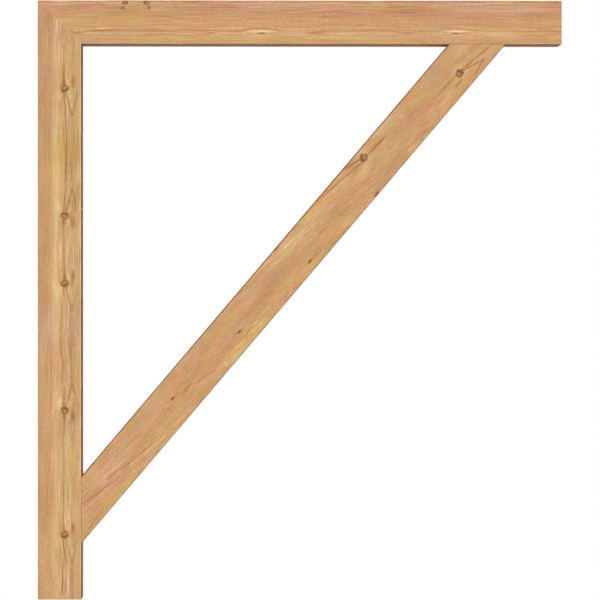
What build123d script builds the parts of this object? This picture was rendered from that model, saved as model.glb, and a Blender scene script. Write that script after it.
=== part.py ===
from build123d import *
from math import atan2, cos, degrees, hypot, sin
import os

# An open timber eave bracket. The origin is the middle of the face that lies on the wall,
# X points out from the wall, Y runs along it and Z points up. All sizes are millimetres.

# The frame's outline
post_height = 1219.2
arm_length = 1066.8

# The timber stock, the same for all three members
timber_width = 88.9
timber_depth = 88.9
long_edge_radius = 1.2
end_edge_chamfer = 0.8

# Where the outer edge of the brace meets the post and the arm
foot_setback = 114.3
head_setback = 114.3

# The wood screws that hold each joint together, and how far they bite into the second timber
screw_bite = 50.8
thread_length = 63.5
thread_diameter = 7.6
shank_diameter = 5.6
neck_diameter = 8.0
neck_length = 4.0
point_length = 9.0
head_diameter = 19.0
crown_diameter = 9.5
rim_thickness = 1.6
head_height = 4.4

# The star-shaped driver recess in a screw's head
recess_depth = 3.0
recess_tip_diameter = 6.6
recess_waist_diameter = 4.9
recess_tips = 6

# How the screws lie in the timber
screw_spacing = 44.0
counterbore_depth = 12.7
head_side_clearance = 1.6
shank_clearance = 0.3
foot_screw_inset = 38.1
head_screw_inset = 38.1

# Levels and faces that the members share
top_z = post_height / 2
foot_z = -post_height / 2
arm_underside_z = top_z - timber_width
post_inner_x = timber_width

# The screws' length under the head
screw_length = timber_width - counterbore_depth + screw_bite

# The slope of the brace, along its outer edge
brace_run = arm_length - head_setback - post_inner_x
brace_rise = arm_underside_z - (foot_z + foot_setback)
brace_outer_length = hypot(brace_run, brace_rise)
brace_angle = atan2(brace_rise, brace_run)

# Where the inner edge of the brace meets the post and the arm
brace_foot_top_z = foot_z + foot_setback + timber_width / cos(brace_angle)
brace_head_inner_x = arm_length - head_setback - timber_width / sin(brace_angle)


# The saw cuts, as planes
mitre_cut = Plane(origin=(0, 0, top_z), z_dir=(1, 0, 1))
foot_cut = Plane(origin=(post_inner_x, 0, 0), z_dir=(1, 0, 0))
head_cut = Plane(origin=(0, 0, arm_underside_z), z_dir=(0, 0, 1))

# The section across the brace at the middle of its length
brace_middle = Vector(
    post_inner_x + brace_run / 2 - sin(brace_angle) * timber_width / 2,
    0,
    arm_underside_z - brace_rise / 2 + cos(brace_angle) * timber_width / 2,
)
brace_section = Plane(
    origin=brace_middle,
    x_dir=(0, 1, 0),
    z_dir=(cos(brace_angle), 0, sin(brace_angle)),
)


def screw_seats(x, z, out_of_timber):
    """Two planes side by side, each on the floor of a counterbore, under one screw's head."""
    seats = []
    for side in (-1, 1):
        entry = Plane(
            origin=(x, side * screw_spacing / 2, z),
            x_dir=(0, 1, 0),
            z_dir=out_of_timber,
        )
        seats.append(entry.offset(-counterbore_depth))
    return seats


corner_seats = screw_seats(0, top_z - timber_width / 2, (-1, 0, 0))
brace_foot_seats = screw_seats(0, brace_foot_top_z - foot_screw_inset, (-1, 0, 0))
brace_head_seats = screw_seats(brace_head_inner_x + head_screw_inset, top_z, (0, 0, 1))


# The outline of the driver recess, tip and waist by turns
recess_corners = []
for step in range(2 * recess_tips):
    corner_diameter = recess_waist_diameter if step % 2 else recess_tip_diameter
    corner = Vector(corner_diameter / 2, 0, 0)
    recess_corners.append(corner.rotate(Axis.Z, step * 180 / recess_tips))

# One screw, with the underside of its head on Z = 0 and its point downwards
with BuildPart() as screw:
    with BuildSketch(Plane.XZ):
        with BuildLine():
            Polyline(
                (0, head_height),
                (crown_diameter / 2, head_height),
                (head_diameter / 2, rim_thickness),
                (head_diameter / 2, 0),
                (neck_diameter / 2, 0),
                (shank_diameter / 2, -neck_length),
                (shank_diameter / 2, thread_length - screw_length),
                (thread_diameter / 2, thread_length - screw_length),
                (thread_diameter / 2, point_length - screw_length),
                (0, -screw_length),
                close=True,
            )
        make_face()
    revolve(axis=Axis.Z)
    with BuildSketch(Plane.XY.offset(head_height - recess_depth)):
        with BuildLine():
            Polyline(*recess_corners, close=True)
        make_face()
    extrude(amount=recess_depth, mode=Mode.SUBTRACT)


# The way that a screw has through the first timber: a counterbore and a clearance hole
with BuildPart() as screw_way_in:
    with BuildSketch():
        Circle(head_diameter / 2 + head_side_clearance)
    extrude(amount=counterbore_depth)
    with BuildSketch():
        Circle(neck_diameter / 2 + shank_clearance)
    extrude(amount=-timber_width)


# The hole that a screw cuts for itself in the second timber, as wide as its thread
with BuildPart() as screw_bore:
    with BuildSketch(Plane.XZ):
        with BuildLine():
            Polyline(
                (0, 0),
                (thread_diameter / 2, 0),
                (thread_diameter / 2, point_length - screw_length),
                (0, -screw_length),
                close=True,
            )
        make_face()
    revolve(axis=Axis.Z)


# The post, square at its foot and mitred at its head
with BuildPart() as wall_post:
    with BuildSketch(Plane.XY.offset(foot_z)):
        with Locations((timber_width / 2, 0)):
            RectangleRounded(timber_width, timber_depth, long_edge_radius)
    extrude(amount=post_height)
    split(bisect_by=mitre_cut, keep=Keep.BOTTOM)
    chamfer(wall_post.faces().sort_by(Axis.Z)[0].edges(), length=end_edge_chamfer)
    with Locations(*corner_seats, *brace_foot_seats):
        add(screw_way_in.part, mode=Mode.SUBTRACT)


# The arm, mitred at the wall and square at its free end
with BuildPart() as top_arm:
    with BuildSketch(Plane.YZ):
        with Locations((0, top_z - timber_width / 2)):
            RectangleRounded(timber_depth, timber_width, long_edge_radius)
    extrude(amount=arm_length)
    split(bisect_by=mitre_cut, keep=Keep.TOP)
    chamfer(top_arm.faces().sort_by(Axis.X)[-1].edges(), length=end_edge_chamfer)
    with Locations(*brace_head_seats):
        add(screw_way_in.part, mode=Mode.SUBTRACT)
    with Locations(*corner_seats):
        add(screw_bore.part, mode=Mode.SUBTRACT)


# The brace, cut upright against the post and level against the arm
with BuildPart() as diagonal_brace:
    with BuildSketch(brace_section):
        RectangleRounded(timber_depth, timber_width, long_edge_radius)
    extrude(amount=brace_outer_length / 2 + timber_width, both=True)
    split(bisect_by=foot_cut, keep=Keep.TOP)
    split(bisect_by=head_cut, keep=Keep.BOTTOM)
    with Locations(*brace_foot_seats, *brace_head_seats):
        add(screw_bore.part, mode=Mode.SUBTRACT)


# The screws of each joint
with BuildPart() as corner_screws:
    with Locations(*corner_seats):
        add(screw.part)

with BuildPart() as brace_foot_screws:
    with Locations(*brace_foot_seats):
        add(screw.part)

with BuildPart() as brace_head_screws:
    with Locations(*brace_head_seats):
        add(screw.part)


wall_post.part.label = "wall_post"
top_arm.part.label = "top_arm"
diagonal_brace.part.label = "diagonal_brace"
corner_screws.part.label = "corner_screws"
brace_foot_screws.part.label = "brace_foot_screws"
brace_head_screws.part.label = "brace_head_screws"

os.makedirs("parts", exist_ok=True)
export_step(wall_post.part, "parts/wall_post.step")
export_step(top_arm.part, "parts/top_arm.step")
export_step(diagonal_brace.part, "parts/diagonal_brace.step")
export_step(corner_screws.part, "parts/corner_screws.step")
export_step(brace_foot_screws.part, "parts/brace_foot_screws.step")
export_step(brace_head_screws.part, "parts/brace_head_screws.step")

print("brace slope, degrees from level:", round(degrees(brace_angle), 3))
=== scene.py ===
from math import cos, e, pi, radians, tau

import bpy
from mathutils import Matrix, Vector


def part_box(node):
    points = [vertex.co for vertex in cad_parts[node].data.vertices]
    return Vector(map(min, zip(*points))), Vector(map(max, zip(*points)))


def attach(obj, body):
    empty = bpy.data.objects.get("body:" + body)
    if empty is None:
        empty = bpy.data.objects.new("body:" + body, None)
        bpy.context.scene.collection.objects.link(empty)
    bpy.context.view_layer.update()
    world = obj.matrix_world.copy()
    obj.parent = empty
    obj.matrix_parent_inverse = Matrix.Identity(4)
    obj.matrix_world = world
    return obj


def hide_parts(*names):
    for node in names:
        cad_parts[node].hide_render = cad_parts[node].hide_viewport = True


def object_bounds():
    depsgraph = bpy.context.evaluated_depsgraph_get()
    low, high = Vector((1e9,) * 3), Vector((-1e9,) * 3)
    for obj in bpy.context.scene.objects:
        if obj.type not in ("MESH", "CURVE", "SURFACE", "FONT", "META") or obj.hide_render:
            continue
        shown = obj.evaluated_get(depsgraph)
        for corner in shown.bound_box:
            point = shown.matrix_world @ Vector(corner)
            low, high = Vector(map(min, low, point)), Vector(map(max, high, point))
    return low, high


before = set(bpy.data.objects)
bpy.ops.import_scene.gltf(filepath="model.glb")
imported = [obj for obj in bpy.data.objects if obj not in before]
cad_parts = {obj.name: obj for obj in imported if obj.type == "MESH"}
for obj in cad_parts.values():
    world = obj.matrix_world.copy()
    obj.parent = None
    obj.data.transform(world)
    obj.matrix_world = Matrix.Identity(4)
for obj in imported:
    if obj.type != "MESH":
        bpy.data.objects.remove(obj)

# The looks of an open timber eave bracket: three planed cedar timbers and six zinc-plated screws.
# The scene is in metres. The wood and the screws are worked out in millimetres.
MM = 0.001
WHITE = (1, 1, 1, 1)

# The box of the solids, before anything is added
cad_low, cad_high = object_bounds()
middle = (cad_low + cad_high) / 2

# The timbers, as the frame has them
post_low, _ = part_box("wall_post")
arm_low, arm_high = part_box("top_arm")
brace_low, brace_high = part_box("diagonal_brace")
timber_mm = (arm_high.z - arm_low.z) / MM
front_y_mm = arm_low.y / MM
arm_top_mm = arm_high.z / MM

# The direction of the brace's outer edge, from the post to the arm, and where the brace is joined
brace_foot = Vector((brace_low.x, 0, brace_low.z))
brace_along = (Vector((brace_high.x, 0, brace_high.z)) - brace_foot).normalized()
brace_foot_low_mm = brace_low.z / MM
brace_foot_high_mm = brace_foot_low_mm + timber_mm / brace_along.x
brace_head_far_mm = brace_high.x / MM
brace_head_near_mm = brace_head_far_mm - timber_mm / brace_along.z

# The photo's view: through a long lens, level and a little left of the bracket's middle
CAMERA_FROM_MIDDLE = Vector((-0.1366, -8.1518, 0.0153))
AIM_FROM_MIDDLE = Vector((0.0007, 0, -0.0003))
CAMERA_LENS = 238.96
CAMERA_SENSOR = 36.0

# The floor: a pale disc below the bracket, from where to where it fades to white as shares of its
# radius, and how much of its own light it gives to the camera
FLOOR_BELOW_FOOT = 0.54
FLOOR_RADIUS = 3.6
FLOOR_SIDES = 96
FLOOR_FADE_FROM = 0.6
FLOOR_FADE_TO = 0.98
FLOOR_GREY = 0.35
FLOOR_MOTTLE = 0.01
FLOOR_LIFT = 0.76

# The light: weak and warm from all round, a soft key, and weaker ones from behind and the side
AMBIENT_LIGHT = 0.07
AMBIENT_COLOUR = (1.0, 0.92, 0.8, 1.0)
KEY_TOWARDS = (-0.25, -1.0, 0.6)
KEY_STRENGTH = 3.02
KEY_SOFTNESS = 0.35
BACK_TOWARDS = (-0.15, 1.0, 0.2)
BACK_STRENGTH = 1.6
SIDE_TOWARDS = (1.0, 0.1, 0.3)
SIDE_STRENGTH = 0.35
FILL_SOFTNESS = 0.5

# What the noise node gives on average, and what spreads it from about -1 to 1
NOISE_MEAN = 0.5
NOISE_SPREAD = 4.0


def srgb(red, green, blue):
    """A colour as it is seen on a screen, from 0 to 255, turned into a colour of light."""
    shares = [value / 255 for value in (red, green, blue)]
    light = (v / 12.92 if v <= 0.04045 else ((v + 0.055) / 1.055) ** 2.4 for v in shares)
    return tuple(light) + (1,)


class Wire:
    """A socket that takes part in sums: an expression on wires adds its Math nodes."""

    def __init__(self, tree, socket=None):
        self.tree = tree
        self.socket = socket

    def node(self, kind, settings=(), values=(), output=0):
        """Adds a node: first its settings, and then the values or links of its sockets."""
        made = self.tree.nodes.new(kind)
        for name, setting in dict(settings).items():
            if name == "points":
                made.mapping.extend = "HORIZONTAL"
                line = made.mapping.curves[0].points
                line[0].location, line[1].location = setting[0], setting[-1]
                for spot in setting[1:-1]:
                    line.new(*spot)
                made.mapping.update()
            else:
                setattr(made, name, setting)
        for name, value in dict(values).items():
            if isinstance(value, Wire):
                self.tree.links.new(value.socket, made.inputs[name])
            else:
                made.inputs[name].default_value = value
        return Wire(self.tree, made.outputs[output] if made.outputs else None)

    def math(self, operation, *values):
        return self.node("ShaderNodeMath", {"operation": operation}, enumerate(values))

    def vector_math(self, operation, *values, output=0):
        settings = {"operation": operation}
        return self.node("ShaderNodeVectorMath", settings, enumerate(values), output)

    def __add__(self, other):
        return self.math("ADD", self, other)

    def __radd__(self, other):
        return self.math("ADD", other, self)

    def __sub__(self, other):
        return self.math("SUBTRACT", self, other)

    def __rsub__(self, other):
        return self.math("SUBTRACT", other, self)

    def __mul__(self, other):
        return self.math("MULTIPLY", self, other)

    def __rmul__(self, other):
        return self.math("MULTIPLY", other, self)

    def __truediv__(self, other):
        return self.math("DIVIDE", self, other)

    def __rtruediv__(self, other):
        return self.math("DIVIDE", other, self)

    def __abs__(self):
        return self.math("ABSOLUTE", self)

    def least(self, other):
        return self.math("MINIMUM", self, other)

    def most(self, other):
        return self.math("MAXIMUM", self, other)

    def dot(self, direction):
        """How far a vector reaches in a direction."""
        return self.vector_math("DOT_PRODUCT", self, direction, output="Value")

    def length(self):
        """The length of a vector."""
        return self.vector_math("LENGTH", self, output="Value")

    def ramp(self, start, end):
        """0 up to start and 1 from end on, with a smooth rise between; it falls if end is less."""
        settings = {"interpolation_type": "SMOOTHSTEP"}
        return self.node("ShaderNodeMapRange", settings, {0: self, 1: start, 2: end})

    def near(self, place, reach):
        """1 at the place, and smoothly down to 0 at the reach from it."""
        return abs(self - place).ramp(reach, 0)

    def drawn(self, points):
        """A line drawn through points, as a function of this value."""
        first, last = points[0][0], points[-1][0]
        low = min(height for _, height in points)
        rise = max(height for _, height in points) - low
        spots = [((x - first) / (last - first), (height - low) / rise) for x, height in points]
        share = (self - first) / (last - first)
        return self.node("ShaderNodeFloatCurve", {"points": spots}, {"Value": share}) * rise + low


def vector(x, y, z):
    """A vector of three wires or numbers, of which the first is a wire."""
    return x.node("ShaderNodeCombineXYZ", (), enumerate((x, y, z)))


def noise(place, detail=2.0):
    """Cloudy noise from about -1 to 1 about a mean of 0, one cloud for each unit of the place."""
    values = {"Vector": place, "Scale": 1.0, "Detail": detail, "Roughness": 0.5}
    return (place.node("ShaderNodeTexNoise", (), values) - NOISE_MEAN) * NOISE_SPREAD


def scaled(amounts, share):
    """A vector, times a share."""
    return share.node("ShaderNodeVectorMath", {"operation": "SCALE"}, {0: amounts, 3: share})


def mix(share, first, second):
    """From the first colour to the second, by the share."""
    values = {0: share, 6: first, 7: second}
    return share.node("ShaderNodeMix", {"data_type": "RGBA"}, values, output=2)


def blend(share, first, second):
    """From the first vector to the second, by the share."""
    values = {0: share, 4: first, 5: second}
    return share.node("ShaderNodeMix", {"data_type": "VECTOR"}, values, output=1)


def nearest_of(candidates):
    """Of pairs of a vector and a distance, the vector at the least distance, and that distance."""
    nearest, least = candidates[0]
    for about, away in candidates[1:]:
        nearest = blend(away.math("LESS_THAN", away, least), nearest, about)
        least = least.least(away)
    return nearest, least


def new_material(name):
    """An empty material, and the wire that its nodes start from."""
    material = bpy.data.materials.new(name)
    material.use_nodes = True
    material.node_tree.nodes.clear()
    return material, Wire(material.node_tree)


def object_place(start):
    """Where a point is on the bracket, in millimetres."""
    place = start.node("ShaderNodeTexCoord", output="Object")
    return place.vector_math("MULTIPLY", place, [1 / MM] * 3)


def finish_surface(start, constants, linked):
    """The shader of a surface: plain numbers on its own sockets, and links for what varies."""
    shader = start.node("ShaderNodeBsdfPrincipled", (), {**constants, **linked})
    start.node("ShaderNodeOutputMaterial", (), {"Surface": shader})


# Cedar, as planed. The wood differs from its mean colour by steps: lighter or darker, yellower or
# pinker, and redder or greener. These are what one step does to the red, green and blue of it.
LIGHTER = (0.113, 0.168, 0.235)
YELLOWER = (0.012, 0.027, -0.060)
REDDER = (0.020, -0.019, -0.004)

# How far the tree's heart lies behind the front face of a timber
HEART_DEPTH = 159.0

# How deep the lines on a front face are gone, and how deep they are still whole
SKIN = (14.0, 3.0)

# The lines that the growth rings draw: their spacing, and how far along one keeps its shade
RING_LINE = 2.3
RING_LINE_LENGTH = 240
RING_DETAIL = 3.0

# Clouds in the wood: how long and wide they are, how far shifted along it and how detailed, and
# how many steps strong each kind is
FIBRE_WIDTH, FIBRE_STEPS = 1.4, 2.1
BANDS, BAND_STEPS = ((110, 6), 20), 0.3
PORES, PORE_STEPS = ((8, 1.5), 40, 1.0), 0.9
PALE_PATCHES = ((90, 26), 60)
YELLOW_WIDTH, YELLOW_SHIFT, YELLOW_STEPS = 28, 7, 1.7
RED_CLOUDS, RED_STEPS = ((60, 24), 13, 3.0), 2.3
UNEVEN_SHIFT = 90

# How the strength of the streaks varies: in clouds, about a mean, by a swing, and not below
CONTRAST_CLOUDS = ((130, 34), 70)
CONTRAST_MEAN, CONTRAST_SWING, CONTRAST_LEAST = 0.95, 0.55, 0.4

# In what clouds thin veins wander, and how far
WOBBLE_CLOUDS, WOBBLE_REACH = ((11, 14), 83), 0.7

# How many half widths deep a spot is, and how strokes and veins begin and end
SPOT_DEPTH = 4
STROKE_START = 3
STROKE_FADE = 0.6
VEIN_END = 14

# End grain: how square to the grain a face is where it begins to show and where it is whole, its
# rings and pores in millimetres, and their steps
END_GRAIN_SHOWS = (0.55, 0.85)
END_RING_LINE, END_RING_STEPS = 2.4, 1.6
END_PORE, END_PORE_LENGTH, END_PORE_STEPS, END_PORE_DETAIL = 0.7, 40, 0.9, 1.0
END_SHADE = (-1.4, 0.6, 0.8)

# The slices of the noise that the rings and the end grain are cut from
RING_SLICE, END_SLICE = 5.0, 9.0

# The planed surface: its small relief in metres, and its gloss
RELIEF_SHARE = 0.5
RELIEF_STRENGTH = 0.35
RELIEF_DEPTH = 0.0003
WOOD_ROUGHNESS = 0.7
WOOD_ROUGHNESS_SWING = 0.05
WOOD_GLOSS = 0.15

# A knot, where 1 is its half size. Its rim is ragged in clouds of two sizes, each with its share.
KNOT_LEAST_SHARE = 0.05
KNOT_RAGGED = [(0.2, (7, 5.5), 31), (0.15, (2.8, 2.4), 47)]
KNOT_RIM = (1.22, 0.9)
KNOT_SHADE = (-4.5, -1.6, -0.9)
HALO_REACH = (3.2, 1.0)
KNOT_MOTTLE, KNOT_MOTTLE_SHADE = ((3.2, 2.8), 52), (1.3, -0.4)

# Its dark places: the middle and the reach of each, down it and beside it
KNOT_DARK_PLACES = [((0.5, 0.62), (-0.25, 0.75)), ((0.15, 0.6), (0.7, 0.5))]
KNOT_DARK = (-3.4, -0.6, 0.2)

# Its pale heart: how it leans, its middle and reach down the knot, and where it ends beside it
KNOT_HEART_LEAN = 0.3
KNOT_HEART_DOWN = (-0.12, 0.5)
KNOT_HEART_BESIDE = (0.85, 0.35)
KNOT_HEART_RAGGED = 2.0
KNOT_HEART = (3.7, -3.2, -1.2)

# The painted highlights and shade along the arrises: where one half of a timber's width gives way
# to the other, as shares of it, how far inside the rim the next painted band lies and how far it
# reaches, and how a joint fades them into the rest
HALF_FROM = 0.45
HALF_TO = 0.55
INSIDE_RIM = 0.6
INSIDE_REACH = 1.5
JOINT_FADE = 4


class Timber:
    """The wood of one timber, seen along it, across it and in from its front face."""

    def __init__(self, name, seed, colour, origin, along, across, valley):
        self.material, self.start = new_material(name)
        self.seed = seed
        self.colour = colour
        self.valley = valley
        away = self.start.vector_math("SUBTRACT", object_place(self.start), origin)
        self.along = away.dot(along)
        self.across = away.dot(across)
        self.depth = away.dot((0, 1, 0))
        self.place = vector(self.along, self.across, self.depth)
        facing = self.start.node("ShaderNodeTexCoord", output="Normal").dot(along)
        self.end_grain = abs(facing).ramp(*END_GRAIN_SHOWS)
        self.skin = self.depth.ramp(*SKIN)
        self.grain = self.across
        self.bulge = 0.0
        self.edge_open = 1.0

    def clouds(self, size, shift=0, detail=2.0):
        """Noise in the wood itself, in clouds of a length along the grain and a width across it.

        Each kind of cloud is shifted along the timber, so that no two kinds lie alike.
        """
        length, width = size
        along = self.along / length + (self.seed + shift)
        return noise(vector(along, self.grain / width, self.depth / width), detail)

    def grow(self, curves, fibre_length, yellow_length, streaky, patchy, hues):
        """The wood without its marks: growth rings, fibres, streaks, and patches of a paler tint.

        The curves say how strong the streaks are across the timber, and how many steps lighter,
        yellower and redder it is.

        The rings are cylinders about the heart. On the front face they are lines on both sides
        of a valley, and where they bulge they close into ovals and tips. The value kept for them
        is how far from the valley a place would lie on a front face with no bulge.
        """
        side = self.grain - self.valley
        fall = (side * side + self.depth * self.depth) / (2 * HEART_DEPTH)
        height = fall - self.depth - self.bulge
        spread = abs(height * (2 * HEART_DEPTH))
        self.rings = height.math("SIGN", height) * spread.math("SQRT", spread)
        contrast, tone, yellow, red = (self.across.drawn(curve) for curve in curves)
        self.fibre = self.clouds((fibre_length, FIBRE_WIDTH))
        ring_along = self.along / RING_LINE_LENGTH + self.seed
        self.lines = noise(vector(self.rings / RING_LINE, ring_along, RING_SLICE), RING_DETAIL)
        self.wobble = WOBBLE_REACH * self.clouds(*WOBBLE_CLOUDS)
        uneven = CONTRAST_MEAN + CONTRAST_SWING * self.clouds(*CONTRAST_CLOUDS)
        contrast = uneven.most(CONTRAST_LEAST) * contrast
        bands = BAND_STEPS * self.clouds(*BANDS)
        grain = contrast * (FIBRE_STEPS * self.fibre + streaky * self.lines + bands)
        pores = PORE_STEPS * self.clouds(*PORES)
        light = grain + pores + patchy * self.clouds(*PALE_PATCHES) + tone
        yellow_size = (yellow_length, YELLOW_WIDTH)
        yellow = YELLOW_STEPS * hues * self.clouds(yellow_size, YELLOW_SHIFT) + yellow
        red = RED_STEPS * hues * self.clouds(*RED_CLOUDS) + red
        self.shade = vector(light, yellow, red)

    def tint(self, share, lighter, yellower=0.0, redder=0.0):
        """Shades the wood by these steps where the share is 1."""
        steps = scaled((lighter, yellower, redder), share)
        self.shade = share.vector_math("ADD", self.shade, steps)

    def cover(self, share, lighter, yellower, redder):
        """Hides the wood where the share is 1, with a shade of its own."""
        self.shade = blend(share, self.shade, (lighter, yellower, redder))

    def spot(self, along, across, half_length, half_width):
        """1 in the middle of a soft oval spot on the front face, and 0 outside it."""
        away = self.place.vector_math("SUBTRACT", self.place, (along, across, 0))
        size = (half_length, half_width, SPOT_DEPTH * half_width)
        return away.vector_math("DIVIDE", away, size).length().ramp(1, 0)

    def lay_patches(self, patches):
        """Soft patches: the place of each, half its length and width, and its steps."""
        for *where, lighter, yellower, redder in patches:
            self.tint(self.spot(*where), lighter, yellower, redder)

    def stroke(self, along, across, length, slope, width, bend=0.0):
        """1 on a thin line on the front face, from a place on it, and 0 beside it.

        A length below 0 runs the other way. The line leans by the slope, and curves by the bend.
        """
        run = (self.along - along) * (1 if length > 0 else -1)
        line = run * (run * bend + slope) + across
        fade = run.ramp(abs(length), abs(length) * STROKE_FADE)
        ends = run.ramp(-STROKE_START, STROKE_START) * fade
        return (self.across - line).near(0, width) * ends * self.skin

    def vein(self, points, width):
        """1 on a thin line on the front face that is drawn through places, and 0 beside it."""
        first, last = points[0][0], points[-1][0]
        ends = self.along.ramp(first, first + VEIN_END) * self.along.ramp(last, last - VEIN_END)
        beside = self.across + self.wobble - self.along.drawn(points)
        return beside.near(0, width) * ends * self.skin

    def lay_knots(self, knots, halo):
        """Knots: a ragged dark rim, darkest to one side, and a pinkish heart that lies askew.

        A knot is a branch: a cone that narrows from the front face back to the tree's heart. Each
        is given by its place, its half length, its half width, and its dark side: up the timber
        (1) or down it (-1). The halo is what the wood round it differs by, in steps.
        """
        share = (1 - self.depth / HEART_DEPTH).most(KNOT_LEAST_SHARE)
        candidates = []
        for along, across, half_length, half_width, dark_side in knots:
            down = (self.along - along) * (dark_side / half_length)
            middle_here = share * (across - self.valley)
            side = (self.grain - self.valley - middle_here) / half_width
            about = scaled(vector(down, side, 0.0), 1 / share)
            candidates.append((about, about.length()))
        nearest, least = nearest_of(candidates)
        ragged = sum(strength * self.clouds(*clouds) for strength, *clouds in KNOT_RAGGED)
        distance = least + ragged
        down = nearest.dot((1, 0, 0))
        side = nearest.dot((0, 1, 0))
        dark = sum(down.near(*below) * side.near(*beside) for below, beside in KNOT_DARK_PLACES)
        heart = (down + KNOT_HEART_LEAN * side).near(*KNOT_HEART_DOWN)
        heart = heart * abs(side).ramp(*KNOT_HEART_BESIDE)
        inside = distance.ramp(*KNOT_RIM)
        self.tint(distance.ramp(*HALO_REACH), *halo)
        self.cover(inside, *KNOT_SHADE)
        self.tint(inside * self.clouds(*KNOT_MOTTLE), *KNOT_MOTTLE_SHADE)
        self.tint(dark, *KNOT_DARK)
        self.tint(heart + KNOT_HEART_RAGGED * ragged * heart, *KNOT_HEART)

    def join(self, start, end, share):
        """The painted light and shade of the inner arris is hidden by this share from start to end,
        where the brace meets it.
        """
        begun = self.along.ramp(start - JOINT_FADE, start + JOINT_FADE)
        not_over = self.along.ramp(end + JOINT_FADE, end - JOINT_FADE)
        self.edge_open = 1 - share * begun * not_over

    def paint_arris_light_and_shade(self, outer, inner):
        """Painted highlights and shade on the rounded arrises, in place of how light falls on them:
        how many steps lighter each is at its rim and just inside the rim, and how far the rim
        reaches.

        The outer arris is the one that places are measured from, and the inner one lies opposite.
        """
        far_side = (timber_mm - self.across).least(self.across)
        far_back = (timber_mm - self.depth).least(self.depth)
        edge = far_side.most(far_back)
        half = self.across.ramp(timber_mm * HALF_FROM, timber_mm * HALF_TO)
        for share, (rim, inside, reach) in ((1 - half, outer), (half * self.edge_open, inner)):
            steps = edge.ramp(reach, reach / 2) * rim
            steps = steps + edge.near(reach + INSIDE_RIM, INSIDE_REACH) * inside
            self.tint(steps * share, 1.0)

    def finish(self):
        """Puts the wood together: its colour with the end grain, its small relief and its gloss."""
        rings_at = vector(self.rings / END_RING_LINE, 0.0, END_SLICE)
        pore_depth = self.depth / END_PORE
        pores_at = vector(self.grain / END_PORE, pore_depth, self.along / END_PORE_LENGTH)
        rings = END_RING_STEPS * noise(rings_at, RING_DETAIL)
        pores = END_PORE_STEPS * noise(pores_at, END_PORE_DETAIL)
        tone, yellow, red = END_SHADE
        shade = blend(self.end_grain, self.shade, vector(rings + pores + tone, yellow, red))
        powers = [shade.dot(step) for step in zip(LIGHTER, YELLOWER, REDDER)]
        gain = shade.vector_math("POWER", (e, e, e), vector(*powers))
        colour = gain.vector_math("MULTIPLY", gain, self.colour[:3])
        height = RELIEF_SHARE * self.fibre + RELIEF_SHARE * self.lines
        relief = {"Height": height, "Strength": RELIEF_STRENGTH, "Distance": RELIEF_DEPTH}
        bump = height.node("ShaderNodeBump", (), relief)
        rough = WOOD_ROUGHNESS + WOOD_ROUGHNESS_SWING * self.lines
        linked = {"Base Color": colour, "Roughness": rough, "Normal": bump}
        finish_surface(self.start, {"Specular IOR Level": WOOD_GLOSS}, linked)
        return self.material


# The post. Places are along it, from the middle of its height, and across it, from the wall face.
POST_WOOD = srgb(210, 166, 116)
POST_VALLEY = 69.5

# Each knot of the post: its place along it, whether the veins at it fan out up the post (1) or
# down it (-1), and how clearly. All have the same place across the post and the same size.
POST_KNOTS = [(429.8, -1, 1.0), (171.5, 1, 1.0), (33.3, -1, 0.6), (-224.6, 1, 0.8),
              (-478.0, -1, 0.6)]
POST_KNOT_ACROSS = 54.6
POST_KNOT_LENGTH = 7.5
POST_KNOT_WIDTH = 7.7
POST_HALO = (-0.4, 1.1, 0.2)

# How the rings bulge at a knot: how much, and from where to where on both sides of it
KNOT_BULGE = 0.41
KNOT_BULGE_TO_FAN = (62, -2)
KNOT_BULGE_BEHIND = (-15, 0)

# A fan: how far from its knot the two lines meet, how fast they spread from the place across the
# post where they meet, how far the right one goes, and how softly it bends there
FAN_REACH = 55.0
FAN_SPREAD = 0.263
FAN_MIDDLE = 69.6
FAN_WIDEST = 8.8
FAN_BEND = 5.0
FAN_WOBBLE = 1.4
FAN_LEFT_WIDTH = 2.8
FAN_RIGHT_WIDTH = 2.5
FAN_RIGHT_SHARE = 0.8
FAN_BEGINS = (4, 12)
FAN_ENDS = (FAN_REACH + 4, FAN_REACH - 2)
FAN_SHADE = (-4.0, 0.8, 0.2)

# The tail of a knot, on the side away from its fan
TAIL_LEAN = -0.07
TAIL_WIDTH = 4.2
TAIL_BEGINS = (-30, -10)
TAIL_ENDS = (-2, -6)
TAIL_SHADE = (-2.4, 0.2, 0.8)

# The four curves across a timber, from the edge that places are measured from: how strong the
# streaks are, and how many steps lighter, yellower and redder the wood is
POST_CURVES = [
    [(0, 0.3), (13, 0.45), (20, 0.7), (36, 0.75), (44, 1.1), (56, 1.3), (70, 1.1), (89, 0.9)],
    [(0, -0.35), (12, -0.5), (20, -0.5), (27, -0.05), (33, 0.8), (38, 1.05), (44, 0.4),
     (50, 0.2), (56, 0.5), (62, 0.5), (70, -0.3), (76, 0.0), (81, 0.1), (89, 0.4)],
    [(0, -0.4), (20, -0.3), (30, 0.3), (45, 0.3), (60, -0.2), (72, 0.0), (89, 0.2)],
    [(0, 0.4), (14, 0.4), (22, 0.7), (27, 0.7), (34, 0.2), (44, -0.15), (56, -0.2), (66, -0.5),
     (89, -0.4)],
]

# How far the grain drifts across the post, and how far its rings bulge, at places along it
POST_DRIFT = [(-610, 1.0), (-530, 0.5), (-470, -3.0), (-330, -4.0), (-250, -2.5), (-170, 2.0),
              (-60, 2.0), (0, 0.5), (60, -2.5), (130, -3.0), (200, -2.0), (260, 1.5), (370, 1.2),
              (420, -1.0), (480, -3.0), (610, -3.0)]
POST_BULGE = [(-610, 0.05), (-540, 0.05), (-520, 0.0), (-190, 0.0), (-160, 0.05), (-60, 0.05),
              (-10, 0.02), (0, 0.0), (610, 0.0)]

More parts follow.
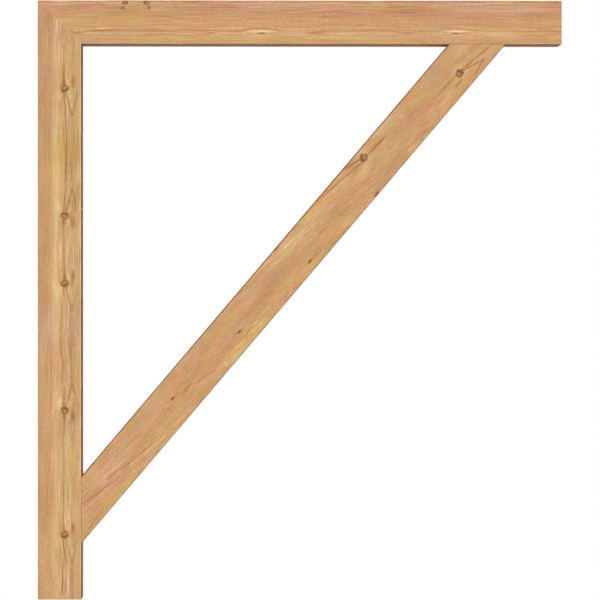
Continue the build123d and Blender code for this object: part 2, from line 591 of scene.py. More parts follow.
# Thin dark veins on the front of the post: the places along and across it, and their steps
POST_VEIN_WIDTH = 3.5
POST_VEINS = [
    ([(0, 55), (20, 52.5), (51, 54.1), (81, 53.7), (122, 52.7), (150, 52.1), (187, 53.4),
      (214, 55.2), (254, 57.2), (305, 57.6), (346, 57.6), (370, 56.8), (397, 55.8), (417, 53.2),
      (530, 53.1)], -3.6, 0.6, 0.6),
    ([(-180, 51), (-163, 50), (-126, 49.9), (-112, 47.2), (-81, 46.2), (-41, 47.4), (2, 49)],
     -2.6, -0.4, 0.8),
    ([(-176, 69), (-130, 67.5), (-60, 66), (-6, 68)], -2.0, -0.2, 0.4),
    ([(-545, 59.5), (-529, 58.2), (-509, 55.2), (-490, 52.7), (-383, 52.7), (-305, 52.3),
      (-236, 54.1), (-200, 53.9), (-172, 55.8)], -3.3, 0.4, 0.6),
    ([(-610, 48), (-560, 50.1), (-522, 50.5)], -2.4, -0.5, 1.2),
]

# How strong the veins are along the post, and how uneven: clouds, a mean and a swing
POST_VEIN_STRENGTH = [
    (-610, 0.8), (-550, 0.75), (-510, 0.9), (-420, 0.9), (-370, 0.5), (-320, 0.5), (-270, 0.8),
    (-225, 1.0), (-170, 0.7), (-120, 0.9), (-60, 0.9), (-10, 0.7), (40, 1.0), (90, 0.7),
    (130, 0.7), (160, 1.0), (210, 0.8), (260, 1.1), (330, 1.1), (370, 0.8), (440, 1.0),
    (480, 0.6), (520, 0.5), (610, 0.3),
]
POST_UNEVEN = ((40, 4), 0.9, 0.3)

# Soft patches of another shade: along, across, half their length and width, and their steps
POST_PATCHES = [
    (575, 50, 90, 60, 0.0, -2.0, 1.0), (455, 20, 130, 26, -0.1, -0.8, 0.6),
    (310, 60, 60, 40, -0.5, 2.2, -0.6), (300, 80, 50, 12, -1.0, 0.8, 0.6),
    (215, 35, 80, 18, 0.4, 1.2, -0.3), (130, 70, 70, 22, 0.2, 1.4, -0.8),
    (-55, 22, 70, 30, 1.1, -2.6, 0.2), (-60, 62, 60, 16, 0.5, -2.0, 0.0),
    (-140, 45, 60, 45, -0.3, -1.4, 1.4), (-330, 68, 70, 22, 0.2, 1.2, -0.8),
    (-420, 30, 90, 22, -0.2, 0.8, 0.5), (-570, 70, 60, 26, -0.2, -1.2, 1.6),
]

# The same beside each knot, where the place along is measured from the knot towards its fan
POST_KNOT_PATCHES = [
    (-14, 71.8, 19, 7.2, -3.4, 0.7, 1.2), (-13, 62.4, 12, 3.6, 1.8, 0.6, 0.0),
    (12, 66, 16, 8, 1.3, -0.4, -0.2), (34, 69.5, 20, 5, 1.0, 0.4, 0.0),
    (-6, 45, 16, 9, -0.3, 1.2, 0.6), (14, 44, 22, 9, 1.2, -0.6, -1.0),
]

# The painted highlight and shade on the arrises of the post: at the rim, just inside it, and the
# rim's reach. The brace hides a share of the inner one. The side that faces the brace is darker, by
# painted shade.
POST_OUTER_ARRIS = (-0.8, -0.6, 1.6)
POST_INNER_ARRIS = (-5.0, 2.2, 1.6)
POST_JOINT_HIDES = 0.8
POST_INNER_SIDE_FROM = 0.6
POST_INNER_SIDE_TO = 0.1
POST_INNER_SIDE_PAINTED_SHADE = -1.6


def uneven_share(wood, size, mean, swing):
    """A share that varies in clouds along the grain, for lines that come and go."""
    return mean + swing * wood.clouds(size, UNEVEN_SHIFT)


def post_wood():
    """The upright post: a row of knots, each with veins that fan out, and a vein between them."""
    origin = (0, front_y_mm, 0)
    wood = Timber("cedar_of_post", 3.0, POST_WOOD, origin, (0, 0, 1), (1, 0, 0), POST_VALLEY)
    wood.grain = wood.across - wood.along.drawn(POST_DRIFT)
    knots, candidates = [], []
    for along, fan, clear in POST_KNOTS:
        knots.append((along, POST_KNOT_ACROSS, POST_KNOT_LENGTH, POST_KNOT_WIDTH, fan))
        from_knot = wood.along - along
        candidates.append((vector(from_knot * fan, clear, 0.0), abs(from_knot)))
    nearest, _ = nearest_of(candidates)
    away = nearest.dot((1, 0, 0))
    clear = nearest.dot((0, 1, 0))
    at_knot = KNOT_BULGE * away.ramp(*KNOT_BULGE_TO_FAN) * away.ramp(*KNOT_BULGE_BEHIND)
    wood.bulge = at_knot + wood.along.drawn(POST_BULGE)
    wood.grow(POST_CURVES, fibre_length=60, yellow_length=110, streaky=1.0, patchy=0.8, hues=1.0)
    wood.lay_patches(POST_PATCHES)
    uneven = uneven_share(wood, *POST_UNEVEN)
    strong = wood.along.drawn(POST_VEIN_STRENGTH) * uneven
    for points, *steps in POST_VEINS:
        wood.tint(wood.vein(points, POST_VEIN_WIDTH) * strong, *steps)

    # What goes with each knot: patches, the two lines of the fan, and the tail
    from_foot = wood.place
    wood.place = vector(away, wood.across, wood.depth)
    wood.lay_patches(POST_KNOT_PATCHES)
    wood.place = from_foot
    spread = FAN_SPREAD * (FAN_REACH - away)
    right_spread = spread.math("SMOOTH_MIN", spread, FAN_WIDEST, FAN_BEND)
    beside = wood.across - FAN_MIDDLE + FAN_WOBBLE * wood.wobble
    right_line = (beside - right_spread).near(0, FAN_RIGHT_WIDTH) * FAN_RIGHT_SHARE
    lines = (beside + spread).near(0, FAN_LEFT_WIDTH).most(right_line)
    lines = lines * away.ramp(*FAN_BEGINS) * away.ramp(*FAN_ENDS)
    wood.tint(lines * clear * uneven * wood.skin, *FAN_SHADE)
    tail = (wood.across + away * TAIL_LEAN).near(POST_KNOT_ACROSS, TAIL_WIDTH)
    tail = tail * away.ramp(*TAIL_BEGINS) * away.ramp(*TAIL_ENDS)
    wood.tint(tail * wood.skin, *TAIL_SHADE)

    wood.grain = wood.across
    wood.lay_knots(knots, POST_HALO)
    wood.join(brace_foot_low_mm, brace_foot_high_mm, POST_JOINT_HIDES)
    # Painted highlight and shade along the arrises of the post
    wood.paint_arris_light_and_shade(POST_OUTER_ARRIS, POST_INNER_ARRIS)
    # Painted shade: the side face towards the brace is darker, as if it lay in shade
    side = wood.across.ramp(timber_mm - POST_INNER_SIDE_FROM, timber_mm - POST_INNER_SIDE_TO)
    wood.tint(side, POST_INNER_SIDE_PAINTED_SHADE)
    return wood.finish()


# The arm. Places are along it, from the wall face, and across it, down from its top.
ARM_WOOD = srgb(212, 162, 116)
ARM_VALLEY = 66.9
ARM_CURVES = [
    [(0, 1.5), (10, 1.3), (20, 0.95), (35, 0.75), (50, 0.75), (58, 1.0), (66, 0.9), (76, 0.7),
     (89, 0.7)],
    [(0, 0.2), (3, -0.2), (6, 0.2), (10, -0.1), (14, -0.3), (24, -0.4), (34, -0.3), (42, 0.1),
     (50, -0.05), (58, 0.05), (63, 0.6), (70, 1.0), (76, 0.4), (84, 0.0), (89, 0.3)],
    [(0, -0.5), (12, -0.9), (22, -0.9), (30, -0.4), (40, 0.3), (60, 0.5), (80, 0.5), (89, 0.2)],
    [(0, -0.3), (8, -0.3), (14, 0), (20, -0.2), (27, 0.2), (33, 0.7), (39, 0.6), (46, 0.15),
     (62, 0.1), (70, -0.4), (76, -0.6), (89, -0.3)],
]

# How far the rings bulge along the arm: most at the two eyes, and a little between them
ARM_BULGE = [(0, 0.06), (280, 0.09), (351, 0.03), (395, 0.0), (430, 0.13), (455, 0.25),
             (480, 0.13), (515, 0.0), (555, 0.03), (600, 0.10), (655, 0.12), (710, 0.10),
             (755, 0.03), (790, 0.0), (825, 0.13), (850, 0.25), (875, 0.13), (910, 0.0),
             (1067, 0.02)]

# An eye: its pale lens, its dark core and the pale wood below it, by the place across the arm,
# half the length and width, and the steps
ARM_EYES = [455.1, 850.2]
EYE_LENS, EYE_LENS_SHADE = (62.2, 40, 4.6), (4.2, -1.0)
EYE_CORE, EYE_CORE_SHADE = (67.1, 13, 3.2), (-5.0, 0.2, 0.4)
EYE_BELOW, EYE_BELOW_SHADE = (71.0, 18, 3.2), (1.3, -0.4)

# The clear rings: how far from the valley, how wide and what steps. The first one lies above the
# valley and stops this far from an eye, and the others are weaker on the far side of the valley.
RING_ABOVE, RING_ABOVE_SHADE = (-3.1, 2.4), (-3.0, 0.0, 0.5)
RING_BELOW, RING_BELOW_SHADE = (4.7, 2.3), (-2.3, 0.0, 0.8)
RING_PALE, RING_PALE_SHADE = (8.4, 3.0), (1.2, -0.3)
RING_STOPS = (45, 70)
RING_TURN = 3
RING_NEAR_SIDE = 0.6
RING_FAR_SIDE = 0.4
ARM_UNEVEN = ((60, 4), 0.75, 0.35)

# Small knots at the top edge: their place, half length and width, and dark side
ARM_EDGE_KNOTS = [(177.3, 4.5, 6.0, 4.0, 1), (172.0, 15.0, 3.5, 3.0, 1),
                  (221.0, 5.0, 5.5, 4.0, -1), (226.5, 14.5, 3.0, 3.6, -1)]
ARM_HALO = (-0.4, 1.3, 0.3)

# Soft patches, as on the post
ARM_PATCHES = [
    (960, 20, 190, 9, 1.3, -0.4, -0.3), (880, 12, 60, 14, 0.8, -1.4, 0.4),
    (760, 22, 110, 16, -0.6, -1.6, 1.4), (610, 26, 120, 20, -0.3, -0.8, 0.8),
    (505, 14, 50, 22, 0.7, -1.4, 0.6), (430, 16, 70, 22, 0.5, -1.8, 0.8),
    (190, 30, 120, 30, -0.2, 1.4, -0.3), (60, 45, 70, 40, 0.3, 0.9, 0.0),
    (640, 72, 120, 14, 0.4, 0.8, -0.4), (1010, 70, 70, 18, -0.4, -0.4, 0.6),
]

# Small marks on the arm, as strokes: start, length, lean and width, and their steps
ARM_STROKES = [
    (118, 3, 22, 0.5, 4.0, -1.3, 0.5, 0.8), (277, 6, 15, 1.6, 4.0, -1.2, 0.0, 0.8),
    (70, 66.5, 28, -0.04, 2.6, -3.0, 0.2, 0.6), (72, 62.0, 30, -0.04, 3.0, 2.2, -0.4, 0.0),
    (112, 61.5, 48, -0.02, 2.6, -2.6, 1.4, 0.4), (116, 57.5, 40, -0.02, 3.0, 1.6, 0.0, 0.0),
    (580, 33, 9, -0.2, 4.0, -1.6, -0.5, 1.6), (626, 23, 10, 0.2, 3.5, -1.2, -0.5, 1.6),
    (722, 32, 10, 0.1, 4.0, -1.5, -0.5, 1.6), (648, 49, 22, 0.02, 2.4, -2.4, 0.4, 0.4),
    (1050, 4, 9, 0.0, 3.5, -2.6, 0.0, 0.4),
]

# The painted highlight and shade on the arrises of the arm, and the share of the inner one that the
# brace hides
ARM_OUTER_ARRIS = (1.0, -1.9, 1.6)
ARM_INNER_ARRIS = (0.6, 0.6, 1.6)
ARM_JOINT_HIDES = 0.9


def arm_wood():
    """The level arm: long level streaks, with two small eyes and slender tips between them."""
    origin = (0, front_y_mm, arm_top_mm)
    wood = Timber("cedar_of_arm", 17.0, ARM_WOOD, origin, (1, 0, 0), (0, 0, -1), ARM_VALLEY)
    wood.bulge = wood.along.drawn(ARM_BULGE)
    wood.grow(ARM_CURVES, fibre_length=70, yellow_length=260, streaky=1.1, patchy=0.4, hues=1.0)
    wood.lay_patches(ARM_PATCHES)
    uneven = uneven_share(wood, *ARM_UNEVEN)
    between = 1.0
    for along in ARM_EYES:
        between = abs(wood.along - along).ramp(*RING_STOPS) * between
    above = wood.across.ramp(ARM_VALLEY + RING_TURN, ARM_VALLEY - RING_TURN)
    above = above * RING_NEAR_SIDE + RING_FAR_SIDE
    wood.tint(wood.rings.near(*RING_ABOVE) * uneven * between * wood.skin, *RING_ABOVE_SHADE)
    wood.tint(wood.rings.near(*RING_BELOW) * uneven * above, *RING_BELOW_SHADE)
    wood.tint(wood.rings.near(*RING_PALE) * uneven * above, *RING_PALE_SHADE)
    for along in ARM_EYES:
        wood.tint(wood.spot(along, *EYE_LENS), *EYE_LENS_SHADE)
        wood.cover(wood.spot(along, *EYE_CORE), *EYE_CORE_SHADE)
        wood.tint(wood.spot(along, *EYE_BELOW), *EYE_BELOW_SHADE)
    for stroke in ARM_STROKES:
        wood.tint(wood.stroke(*stroke[:5]), *stroke[5:])
    wood.lay_knots(ARM_EDGE_KNOTS, ARM_HALO)
    wood.join(brace_head_near_mm, brace_head_far_mm, ARM_JOINT_HIDES)
    # Painted highlight and shade along the arrises of the arm
    wood.paint_arris_light_and_shade(ARM_OUTER_ARRIS, ARM_INNER_ARRIS)
    return wood.finish()


# The brace. Places are along it, from the foot of its outer edge, and across it from that edge.
# Its grain lies flatter than the brace, and more so towards the arm.
BRACE_WOOD = srgb(209, 161, 112)
BRACE_VALLEY = -40.0
BRACE_GRAIN_LEAN = 0.04
BRACE_GRAIN_CURVE = 0.00004
BRACE_CURVES = [
    [(0, 1.2), (10, 0.95), (20, 0.8), (40, 0.65), (60, 0.6), (74, 0.6), (89, 0.8)],
    [(0, -0.3), (8, 0.0), (16, 0.1), (26, 0.05), (36, -0.05), (50, 0.05), (66, 0.15), (89, 0.2)],
    [(0, 1.0), (8, 0.5), (20, 0.25), (45, -0.05), (70, -0.2), (82, -0.4), (89, -0.5)],
    [(0, 0.5), (6, 0.3), (12, 0), (24, 0.25), (50, 0.1), (66, -0.1), (78, -0.4), (89, -0.7)],
]

# The two knots, by their place, half length and width, and dark side
BRACE_KNOTS = [(1227.2, 33.3, 8.4, 7.8, 1), (969.7, 70.6, 8.4, 7.8, -1)]
BRACE_HALO = (1.3, -0.8, -1.2)

# The pin knots: their places, half their length and width, and the pale wood beside them
BRACE_PINS = [(737.9, 17.9), (536.3, 34.3), (344.1, 50.2)]
PIN_SIZE = (7, 4.2)
PIN_SHADE = (-8.5, 0.5, 0.5)
PIN_PALE_ALONG = 3
PIN_PALE_ACROSS = 3.5
PIN_PALE_SIZE = (16, 4)
PIN_PALE_SHADE = (1.2, -0.8)

# Dark marks at the two edges: along, across, half their length and width, and their steps
BRACE_MARKS = [(931, 2.4, 12, 4.6, -7.5, 0.5, 0.5), (713, 88, 11, 6.0, -5.0, 0.4, 0.6)]

# Veins and pin-knot tails, and pale streaks where the last number is below 0: start, length, lean
# and width, a curve where there is one, and how strong they are
BRACE_STROKES = [
    (1234, 35, 92, -0.17, 3.2, 1.1), (1234, 33, 52, -0.40, 3.0, 1.1),
    (1284, 15, -44, -0.20, 2.8, 0.9), (1222, 22, -30, -0.05, 6.0, 0.7),
    (1220, 36, -52, 0.07, 2.4, 0.9), (964, 73, -44, 0.36, 3.2, 1.2),
    (964, 67, -130, 0.15, 3.2, 1.2), (974, 68, 66, 0.0, 3.0, -0.0009, 1.2),
    (738, 17.9, 44, -0.05, 2.0, 0.9), (738, 17.6, -16, 0.1, 2.0, 0.9),
    (536, 34, 17, -0.16, 2.0, 0.9), (538, 34, -13, 0.2, 2.0, 0.9),
    (346, 50, -15, 0.07, 2.0, 0.9), (342, 50.2, 24, -0.1, 2.0, 0.9),
    (370, 43.5, 30, -0.15, 2.0, 0.8), (364, 41.5, 24, -0.36, 1.8, 0.6),
    (400, 31.5, 38, -0.08, 2.2, 0.7), (242, 27.7, 30, -0.16, 2.0, 0.7),
    (1066, 13.5, 40, -0.11, 2.0, 0.8), (90, 39.8, 70, -0.06, 1.8, 0.6),
    (1155, 40, 60, -0.13, 2.0, 0.5), (600, 55, 70, -0.1, 2.2, 0.4),
    (180, 62, 80, -0.1, 2.2, 0.4), (860, 30, 80, -0.12, 2.2, 0.4),
    (61, 51, 110, -0.25, 2.4, 0.7), (132, 44, 36, -0.08, 3.6, 0.8),
    (164, 37, 104, -0.19, 2.6, 0.7), (72, 63, 170, -0.175, 3.0, -0.4),
    (185, 28, 108, -0.17, 3.4, -0.4), (50, 41, 76, -0.14, 3.0, -0.5),
    (987, 68.5, 40, -0.08, 2.2, 0.5), (30, 10, 50, 0.0, 5.0, 0.4),
    (640, 86, 150, -0.10, 2.4, -0.35), (690, 77, 170, -0.10, 2.6, -0.4),
    (640, 73, 120, -0.10, 2.2, -0.35), (780, 85, 110, -0.11, 2.4, -0.4),
    (760, 64, 130, -0.10, 2.4, -0.35), (860, 80, 80, -0.11, 2.2, -0.45),
    (700, 81, 120, -0.10, 2.0, 0.35), (740, 71, 110, -0.10, 2.0, 0.35),
]
BRACE_STROKE_SHADE = (-3.7, 0.2, 0.4)
BRACE_UNEVEN = ((20, 4), 0.85, 0.25)

# Soft patches, as on the post
BRACE_PATCHES = [
    (590, 12, 60, 12, 0.8, 1.8, -0.4), (500, 14, 60, 14, 0.7, 2.0, -0.4),
    (780, 72, 120, 15, 1.4, 1.4, -0.6), (850, 12, 40, 10, 0.8, 1.6, 0.0),
    (900, 72, 60, 15, 1.3, 1.4, -0.6), (1065, 45, 70, 30, 0.1, -1.0, 0.4),
    (670, 60, 50, 24, 0.3, -1.8, 1.0), (455, 70, 60, 16, 0.2, -1.8, 1.4),
    (255, 25, 50, 12, 0.6, 1.2, 0.0), (1180, 20, 50, 16, 0.5, 1.0, 0.0),
    (730, 80, 30, 10, 1.0, 0.6, -0.4), (90, 50, 60, 40, -0.5, -0.6, 0.8),
    (380, 50, 110, 26, -0.3, -0.6, 0.4), (1000, 25, 60, 20, -0.2, -0.4, 0.4),
    (1255, 24, 60, 20, 0.5, 1.6, -0.6), (150, 45, 100, 26, 0.4, -1.2, 0.6),
    (640, 40, 90, 22, -0.8, 0.0, 0.8), (948, 52, 36, 14, 1.9, 0.5, -0.3),
    (1262, 60, 55, 22, 1.1, 0.6, -0.3),
]

# The painted shade on the arrises of the brace, with a little painted highlight just inside
BRACE_OUTER_ARRIS = (-2.2, 0.3, 2.4)
BRACE_INNER_ARRIS = (-7.5, 0.8, 3.0)


def brace_wood():
    """The brace: soft grain that runs a little across it, with two knots and three pin knots."""
    along, across = tuple(brace_along), (-brace_along.z, 0, brace_along.x)
    origin = (brace_foot.x / MM, front_y_mm, brace_foot.z / MM)
    wood = Timber("cedar_of_brace", 29.0, BRACE_WOOD, origin, along, across, BRACE_VALLEY)
    lean = wood.along * (wood.along * BRACE_GRAIN_CURVE + BRACE_GRAIN_LEAN)
    wood.grain = wood.across + lean
    wood.grow(BRACE_CURVES, fibre_length=28, yellow_length=130, streaky=0.9, patchy=0.9, hues=1.25)
    wood.lay_patches(BRACE_PATCHES)
    uneven = uneven_share(wood, *BRACE_UNEVEN)
    for *line, strength in BRACE_STROKES:
        wood.tint(strength * uneven * wood.stroke(*line), *BRACE_STROKE_SHADE)
    for pin_along, pin_across in BRACE_PINS:
        beside = (pin_along + PIN_PALE_ALONG, pin_across + PIN_PALE_ACROSS)
        wood.tint(wood.spot(*beside, *PIN_PALE_SIZE), *PIN_PALE_SHADE)
        wood.cover(wood.spot(pin_along, pin_across, *PIN_SIZE), *PIN_SHADE)
    for mark in BRACE_MARKS:
        wood.cover(wood.spot(*mark[:4]), *mark[4:])
    wood.grain = wood.across
    wood.valley = 0.0
    wood.lay_knots(BRACE_KNOTS, BRACE_HALO)
    # Painted shade and highlight along the arrises of the brace
    wood.paint_arris_light_and_shade(BRACE_OUTER_ARRIS, BRACE_INNER_ARRIS)
    return wood.finish()


def dress(node, material):
    """Gives a timber of the solids its wood."""
    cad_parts[node].data.materials.clear()
    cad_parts[node].data.materials.append(material)


# The screws, in millimetres, with the underside of the head at 0 and the point downwards
SCREW_LENGTH = 127.0
HEAD_RADIUS = 9.5
CROWN_RADIUS = 4.75
HEAD_HEIGHT = 4.4
RIM_THICKNESS = 1.6
NECK_RADIUS = 4.0
NECK_LENGTH = 4.0
SHANK_RADIUS = 2.8
THREAD_LENGTH = 63.5
THREAD_RADIUS = 3.8
THREAD_CORE_RADIUS = 2.5
THREAD_PITCH = 4.2
POINT_LENGTH = 9.0
RECESS_DEPTH = 3.0
RECESS_TIP_RADIUS = 3.3
RECESS_WAIST_RADIUS = 2.45
RECESS_LOBES = 6

# The blunted point, the rounded rim, and the shoulders of the crown: how far outside its radius
# and how far below its top each one lies
POINT_RADIUS = 0.05
POINT_BLUNTED = 0.1
RIM_ROUNDING = 0.3
RIM_SHOULDER = 0.35
CROWN_SHOULDERS = [(1.2, 0.8), (0.5, 0.35), (0.0, 0.06), (-0.5, 0.0)]

# The thread's ridge: half its foot as a share of the pitch, how far it is sunk in the core, where
# it starts above the point, how much shorter than the thread it is, and how the core runs out
RIDGE_HALF_FOOT = 0.36
RIDGE_SUNK = 0.5
RIDGE_START = 1.0
RIDGE_SHORTER = 2.5
CORE_RUN_OUT = 1.0

# The outline that trims the ridge: how far inside the thread's radius it lies, how far below the
# neck and the head it changes, and how far above the head it ends
TRIM_INSIDE = 0.02
TRIM_BELOW_NECK = 1
TRIM_BELOW_HEAD = 0.1
TRIM_ABOVE_HEAD = 1

# How finely round things are made
LOBE_STEPS = 8
LATHE_SIDES = 48
THREAD_STEPS = 24
SMOOTH_BELOW = radians(32)


def start_circle(sides, radius, centre, fill_type="NGON", **options):
    """Adds a circle with nothing else selected, and gives the new object."""
    if bpy.context.object and bpy.context.object.mode != "OBJECT":
        bpy.ops.object.mode_set(mode="OBJECT")
    bpy.ops.object.select_all(action="DESELECT")
    bpy.ops.mesh.primitive_circle_add(vertices=sides, radius=radius, location=centre,
                                      fill_type=fill_type, **options)
    return bpy.context.object


def edit_all():
    """Enters edit mode with the whole mesh selected."""
    bpy.ops.object.mode_set(mode="EDIT")
    bpy.ops.mesh.select_all(action="SELECT")


def turn_outwards():
    """Turns the faces of the mesh in edit mode outwards, and leaves edit mode."""
    bpy.ops.mesh.select_all(action="SELECT")
    bpy.ops.mesh.normals_make_consistent(inside=False)
    bpy.ops.object.mode_set(mode="OBJECT")


def settle():
    """Puts the place, turn and size of the selected object into its mesh."""
    bpy.ops.object.transform_apply(location=True, rotation=True, scale=True)


def turned(stations):
    """A solid turned on a lathe, from stations of radius and height in order along its axis."""
    radius, height = stations[0]
    piece = start_circle(LATHE_SIDES, radius * MM, (0, 0, height * MM))
    edit_all()
    for next_radius, next_height in stations[1:]:
        rise = (next_height - height) * MM
        bpy.ops.mesh.extrude_region_move(TRANSFORM_OT_translate={"value": (0, 0, rise)})
        share = next_radius / radius
        centre = (0, 0, next_height * MM)
        bpy.ops.transform.resize(value=(share, share, 1), center_override=centre)
        radius, height = next_radius, next_height
    turn_outwards()
    settle()
    return piece


def combine(piece, other, operation):
    """Cuts one solid by another, or joins it to it, and removes the other."""
    bpy.ops.object.select_all(action="DESELECT")
    piece.select_set(True)
    bpy.context.view_layer.objects.active = piece
    cut = piece.modifiers.new("combine", "BOOLEAN")
    cut.operation = operation
    cut.solver = "MANIFOLD"
    cut.object = other
    bpy.ops.object.modifier_apply(modifier=cut.name)
    bpy.data.objects.remove(other)


def star_cutter():
    """The star-shaped plug that cuts the driver recess, with rounded lobes."""
    count = RECESS_LOBES * LOBE_STEPS
    floor = (HEAD_HEIGHT - RECESS_DEPTH) * MM
    mean = (RECESS_TIP_RADIUS + RECESS_WAIST_RADIUS) / 2
    swing = (RECESS_TIP_RADIUS - RECESS_WAIST_RADIUS) / 2
    piece = start_circle(count, mean * MM, (0, 0, floor))
    for step in range(LOBE_STEPS // 2 + 1):
        bpy.ops.object.mode_set(mode="EDIT")
        bpy.ops.mesh.select_all(action="DESELECT")
        bpy.ops.object.mode_set(mode="OBJECT")
        for number, corner in enumerate(piece.data.vertices):
            place = number % LOBE_STEPS
            corner.select = min(place, LOBE_STEPS - place) == step
        bpy.ops.object.mode_set(mode="EDIT")
        share = 1 + swing / mean * cos(tau * step / LOBE_STEPS)
        bpy.ops.transform.resize(value=(share, share, 1), center_override=(0, 0, floor))
    bpy.ops.mesh.select_all(action="SELECT")
    rise = 2 * RECESS_DEPTH * MM
    bpy.ops.mesh.extrude_region_move(TRANSFORM_OT_translate={"value": (0, 0, rise)})
    turn_outwards()
    settle()
    return piece


def thread_ridge():
    """The ridge of the thread: a sharp section wound about the core and closed at both ends."""
    half = RIDGE_HALF_FOOT * THREAD_PITCH
    depth = THREAD_RADIUS - THREAD_CORE_RADIUS + RIDGE_SUNK
    start = Vector((THREAD_RADIUS - depth, 0, -SCREW_LENGTH + RIDGE_START))
    piece = start_circle(4, MM, start * MM, "NOTHING", rotation=(pi / 2, 0, 0))
    edit_all()
    bpy.ops.transform.resize(value=(depth, 1, half), center_override=start * MM)
    bpy.ops.object.mode_set(mode="OBJECT")
    settle()
    wind = piece.modifiers.new("wind", "SCREW")
    wind.axis = "Z"
    wind.angle = tau
    wind.screw_offset = THREAD_PITCH * MM
    wind.iterations = int((THREAD_LENGTH - RIDGE_SHORTER) / THREAD_PITCH)
    wind.steps = THREAD_STEPS
    wind.render_steps = THREAD_STEPS
    bpy.ops.object.modifier_apply(modifier=wind.name)
    bpy.ops.object.mode_set(mode="EDIT")
    bpy.ops.mesh.select_all(action="DESELECT")
    bpy.ops.mesh.select_non_manifold()
    bpy.ops.mesh.fill_holes(sides=4)
    turn_outwards()
    return piece


def make_screw():
    """One structural screw: a washer head with a star recess, a plain shank and a cut thread."""
    tip = -SCREW_LENGTH
    thread_top = THREAD_LENGTH - SCREW_LENGTH
    point = (POINT_RADIUS, tip + POINT_BLUNTED)
    crown = [(CROWN_RADIUS + out, HEAD_HEIGHT - below) for out, below in CROWN_SHOULDERS]
    body = turned([
        point, (THREAD_CORE_RADIUS, tip + POINT_LENGTH), (THREAD_CORE_RADIUS, thread_top),
        (SHANK_RADIUS, thread_top + CORE_RUN_OUT), (SHANK_RADIUS, -NECK_LENGTH),
        (NECK_RADIUS, 0), (HEAD_RADIUS - RIM_ROUNDING, 0), (HEAD_RADIUS, RIM_ROUNDING),
        (HEAD_RADIUS, RIM_THICKNESS - RIM_ROUNDING), (HEAD_RADIUS - RIM_SHOULDER, RIM_THICKNESS),
        *crown,
    ])
    combine(body, thread_ridge(), "UNION")
    trim_radius = THREAD_RADIUS - TRIM_INSIDE
    outline = turned([
        point, (trim_radius, tip + POINT_LENGTH), (trim_radius, -NECK_LENGTH - TRIM_BELOW_NECK),
        (HEAD_RADIUS, -TRIM_BELOW_HEAD), (HEAD_RADIUS, HEAD_HEIGHT + TRIM_ABOVE_HEAD),
    ])
    combine(body, outline, "INTERSECT")
    combine(body, star_cutter(), "DIFFERENCE")
    bpy.ops.object.shade_smooth_by_angle(angle=SMOOTH_BELOW)
    return body


# Zinc plating: its two greys, the size of its clouds, flakes and grit, and how strong each is in
# the tone and in the roughness
ZINC_DARK = srgb(160, 156, 146)
ZINC_PALE = srgb(208, 206, 197)
ZINC_CLOUD = 6
ZINC_CLOUD_DETAIL = 3.0
ZINC_GRIT = 0.5
ZINC_FLAKES_PER_MM = 0.9
ZINC_TONE = 0.5
CLOUD_TONE = 0.16
FLAKE_TONE = 0.25
FLAKE_MEAN = 0.5
GRIT_TONE = 0.08
ZINC_ROUGHNESS = 0.36
ZINC_ROUGHNESS_SWING = 0.05
GRIT_STRENGTH = 0.3
GRIT_DEPTH = 0.00005


def zinc():
    """Zinc plating: a satin grey with small pale flakes, soft clouds and a fine grit."""
    material, start = new_material("zinc_plate")
    place = object_place(start)
    clouds = noise(place.vector_math("DIVIDE", place, [ZINC_CLOUD] * 3), ZINC_CLOUD_DETAIL)
    grit = noise(place.vector_math("DIVIDE", place, [ZINC_GRIT] * 3))
    values = {"Vector": place, "Scale": ZINC_FLAKES_PER_MM}
    flakes = place.node("ShaderNodeTexVoronoi", (), values, output="Color")
    flake = flakes.node("ShaderNodeSeparateXYZ", (), {0: flakes})
    tone = ZINC_TONE + CLOUD_TONE * clouds + FLAKE_TONE * (flake - FLAKE_MEAN) + GRIT_TONE * grit
    colour = mix(tone.ramp(0, 1), ZINC_DARK, ZINC_PALE)
    rough = ZINC_ROUGHNESS + ZINC_ROUGHNESS_SWING * clouds + ZINC_ROUGHNESS_SWING * grit
    relief = {"Height": grit, "Strength": GRIT_STRENGTH, "Distance": GRIT_DEPTH}
    bump = grit.node("ShaderNodeBump", (), relief)
    linked = {"Base Color": colour, "Roughness": rough, "Normal": bump}
    finish_surface(start, {"Metallic": 1.0}, linked)
    return material


def drive_screws(screw):
    """Copies the screw to the two places of each joint that the solids have, and removes it."""
    reach = HEAD_RADIUS * MM
    for node in ("corner_screws", "brace_foot_screws", "brace_head_screws"):
        low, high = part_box(node)
        centre = (low + high) / 2
        from_above = node == "brace_head_screws"
        for side, y in (("left", low.y + reach), ("right", high.y - reach)):
            bpy.ops.object.select_all(action="DESELECT")
            screw.select_set(True)
            bpy.context.view_layer.objects.active = screw
            bpy.ops.object.duplicate()
            piece = bpy.context.object
            piece.name = f"{node}_{side}"
            if from_above:
                piece.location = (centre.x, y, high.z - HEAD_HEIGHT * MM)
            else:
                piece.location = (low.x + HEAD_HEIGHT * MM, y, centre.z)
                piece.rotation_euler = (0, -pi / 2, 0)
            settle()
            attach(piece, "root")
            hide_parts(node)
    bpy.data.objects.remove(screw)


def place_camera():
    """The camera of the photo."""
    camera = bpy.data.objects.new("camera", bpy.data.cameras.new("camera"))
    bpy.context.scene.collection.objects.link(camera)
    camera.data.lens = CAMERA_LENS
    camera.data.sensor_width = CAMERA_SENSOR
    camera.location = middle + CAMERA_FROM_MIDDLE
    look = middle + AIM_FROM_MIDDLE - camera.location
    camera.rotation_euler = look.to_track_quat("-Z", "Y").to_euler()
    bpy.context.scene.camera = camera


def place_sun(name, to_light, strength, softness):
    """A far soft light that comes from one direction, even over the whole bracket."""
    lamp = bpy.data.objects.new(name, bpy.data.lights.new(name, "SUN"))
    bpy.context.scene.collection.objects.link(lamp)
    lamp.data.energy = strength
    lamp.data.angle = softness
    lamp.rotation_euler = Vector(to_light).to_track_quat("Z", "Y").to_euler()


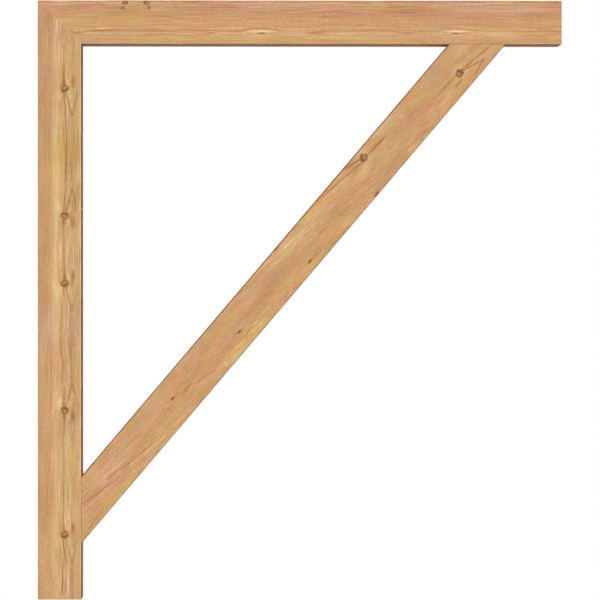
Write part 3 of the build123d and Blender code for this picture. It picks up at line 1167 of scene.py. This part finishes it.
def seen_directly(start):
    """1 where the camera, gloss or glass looks at a surface, and 0 for the light that it gives."""
    path = start.node("ShaderNodeLightPath", output="Is Camera Ray")
    path = path.most(start.node("ShaderNodeLightPath", output="Is Glossy Ray"))
    return path.most(start.node("ShaderNodeLightPath", output="Is Transmission Ray"))


def light_the_world():
    """Soft warm light from all round, which the camera, gloss and glass see as white."""
    world = bpy.data.worlds.new("studio")
    bpy.context.scene.world = world
    world.use_nodes = True
    world.node_tree.nodes.clear()
    start = Wire(world.node_tree)
    ambient = {"Color": AMBIENT_COLOUR, "Strength": AMBIENT_LIGHT}
    dim = start.node("ShaderNodeBackground", (), ambient)
    white = start.node("ShaderNodeBackground", (), {"Color": WHITE, "Strength": 1.0})
    both = start.node("ShaderNodeMixShader", (), {0: seen_directly(start), 1: dim, 2: white})
    start.node("ShaderNodeOutputWorld", (), {"Surface": both})


def lay_floor():
    """A pale round floor that keeps the bracket's shadow and fades to white at its rim."""
    centre = (middle.x, middle.y, post_low.z - FLOOR_BELOW_FOOT)
    floor = start_circle(FLOOR_SIDES, FLOOR_RADIUS, centre)
    floor.name = "floor"
    settle()
    material, start = new_material("pale_floor")
    place = start.node("ShaderNodeTexCoord", output="Object")
    away = place.vector_math("SUBTRACT", place, centre).length()
    far = away.ramp(FLOOR_RADIUS * FLOOR_FADE_FROM, FLOOR_RADIUS * FLOOR_FADE_TO)
    seen = seen_directly(start)
    grey = FLOOR_GREY + FLOOR_MOTTLE * noise(place, 3.0)
    matt = start.node("ShaderNodeBsdfDiffuse", (), {"Color": vector(grey, grey, grey)})
    lift = start.node("ShaderNodeEmission", (), {"Color": WHITE, "Strength": FLOOR_LIFT})
    lifted = start.node("ShaderNodeAddShader", (), {0: matt, 1: lift})
    white = start.node("ShaderNodeEmission", (), {"Color": WHITE, "Strength": 1.0})
    shown = start.node("ShaderNodeMixShader", (), {0: seen, 1: matt, 2: lifted})
    faded = start.node("ShaderNodeMixShader", (), {0: far * seen, 1: shown, 2: white})
    start.node("ShaderNodeOutputMaterial", (), {"Surface": faded})
    floor.data.materials.append(material)


dress("wall_post", post_wood())
dress("top_arm", arm_wood())
dress("diagonal_brace", brace_wood())

the_screw = make_screw()
the_screw.data.materials.append(zinc())
drive_screws(the_screw)

place_camera()
light_the_world()
place_sun("key_light", KEY_TOWARDS, KEY_STRENGTH, KEY_SOFTNESS)
place_sun("back_light", BACK_TOWARDS, BACK_STRENGTH, FILL_SOFTNESS)
place_sun("side_light", SIDE_TOWARDS, SIDE_STRENGTH, FILL_SOFTNESS)
lay_floor()
bpy.context.scene.view_settings.view_transform = "Standard"
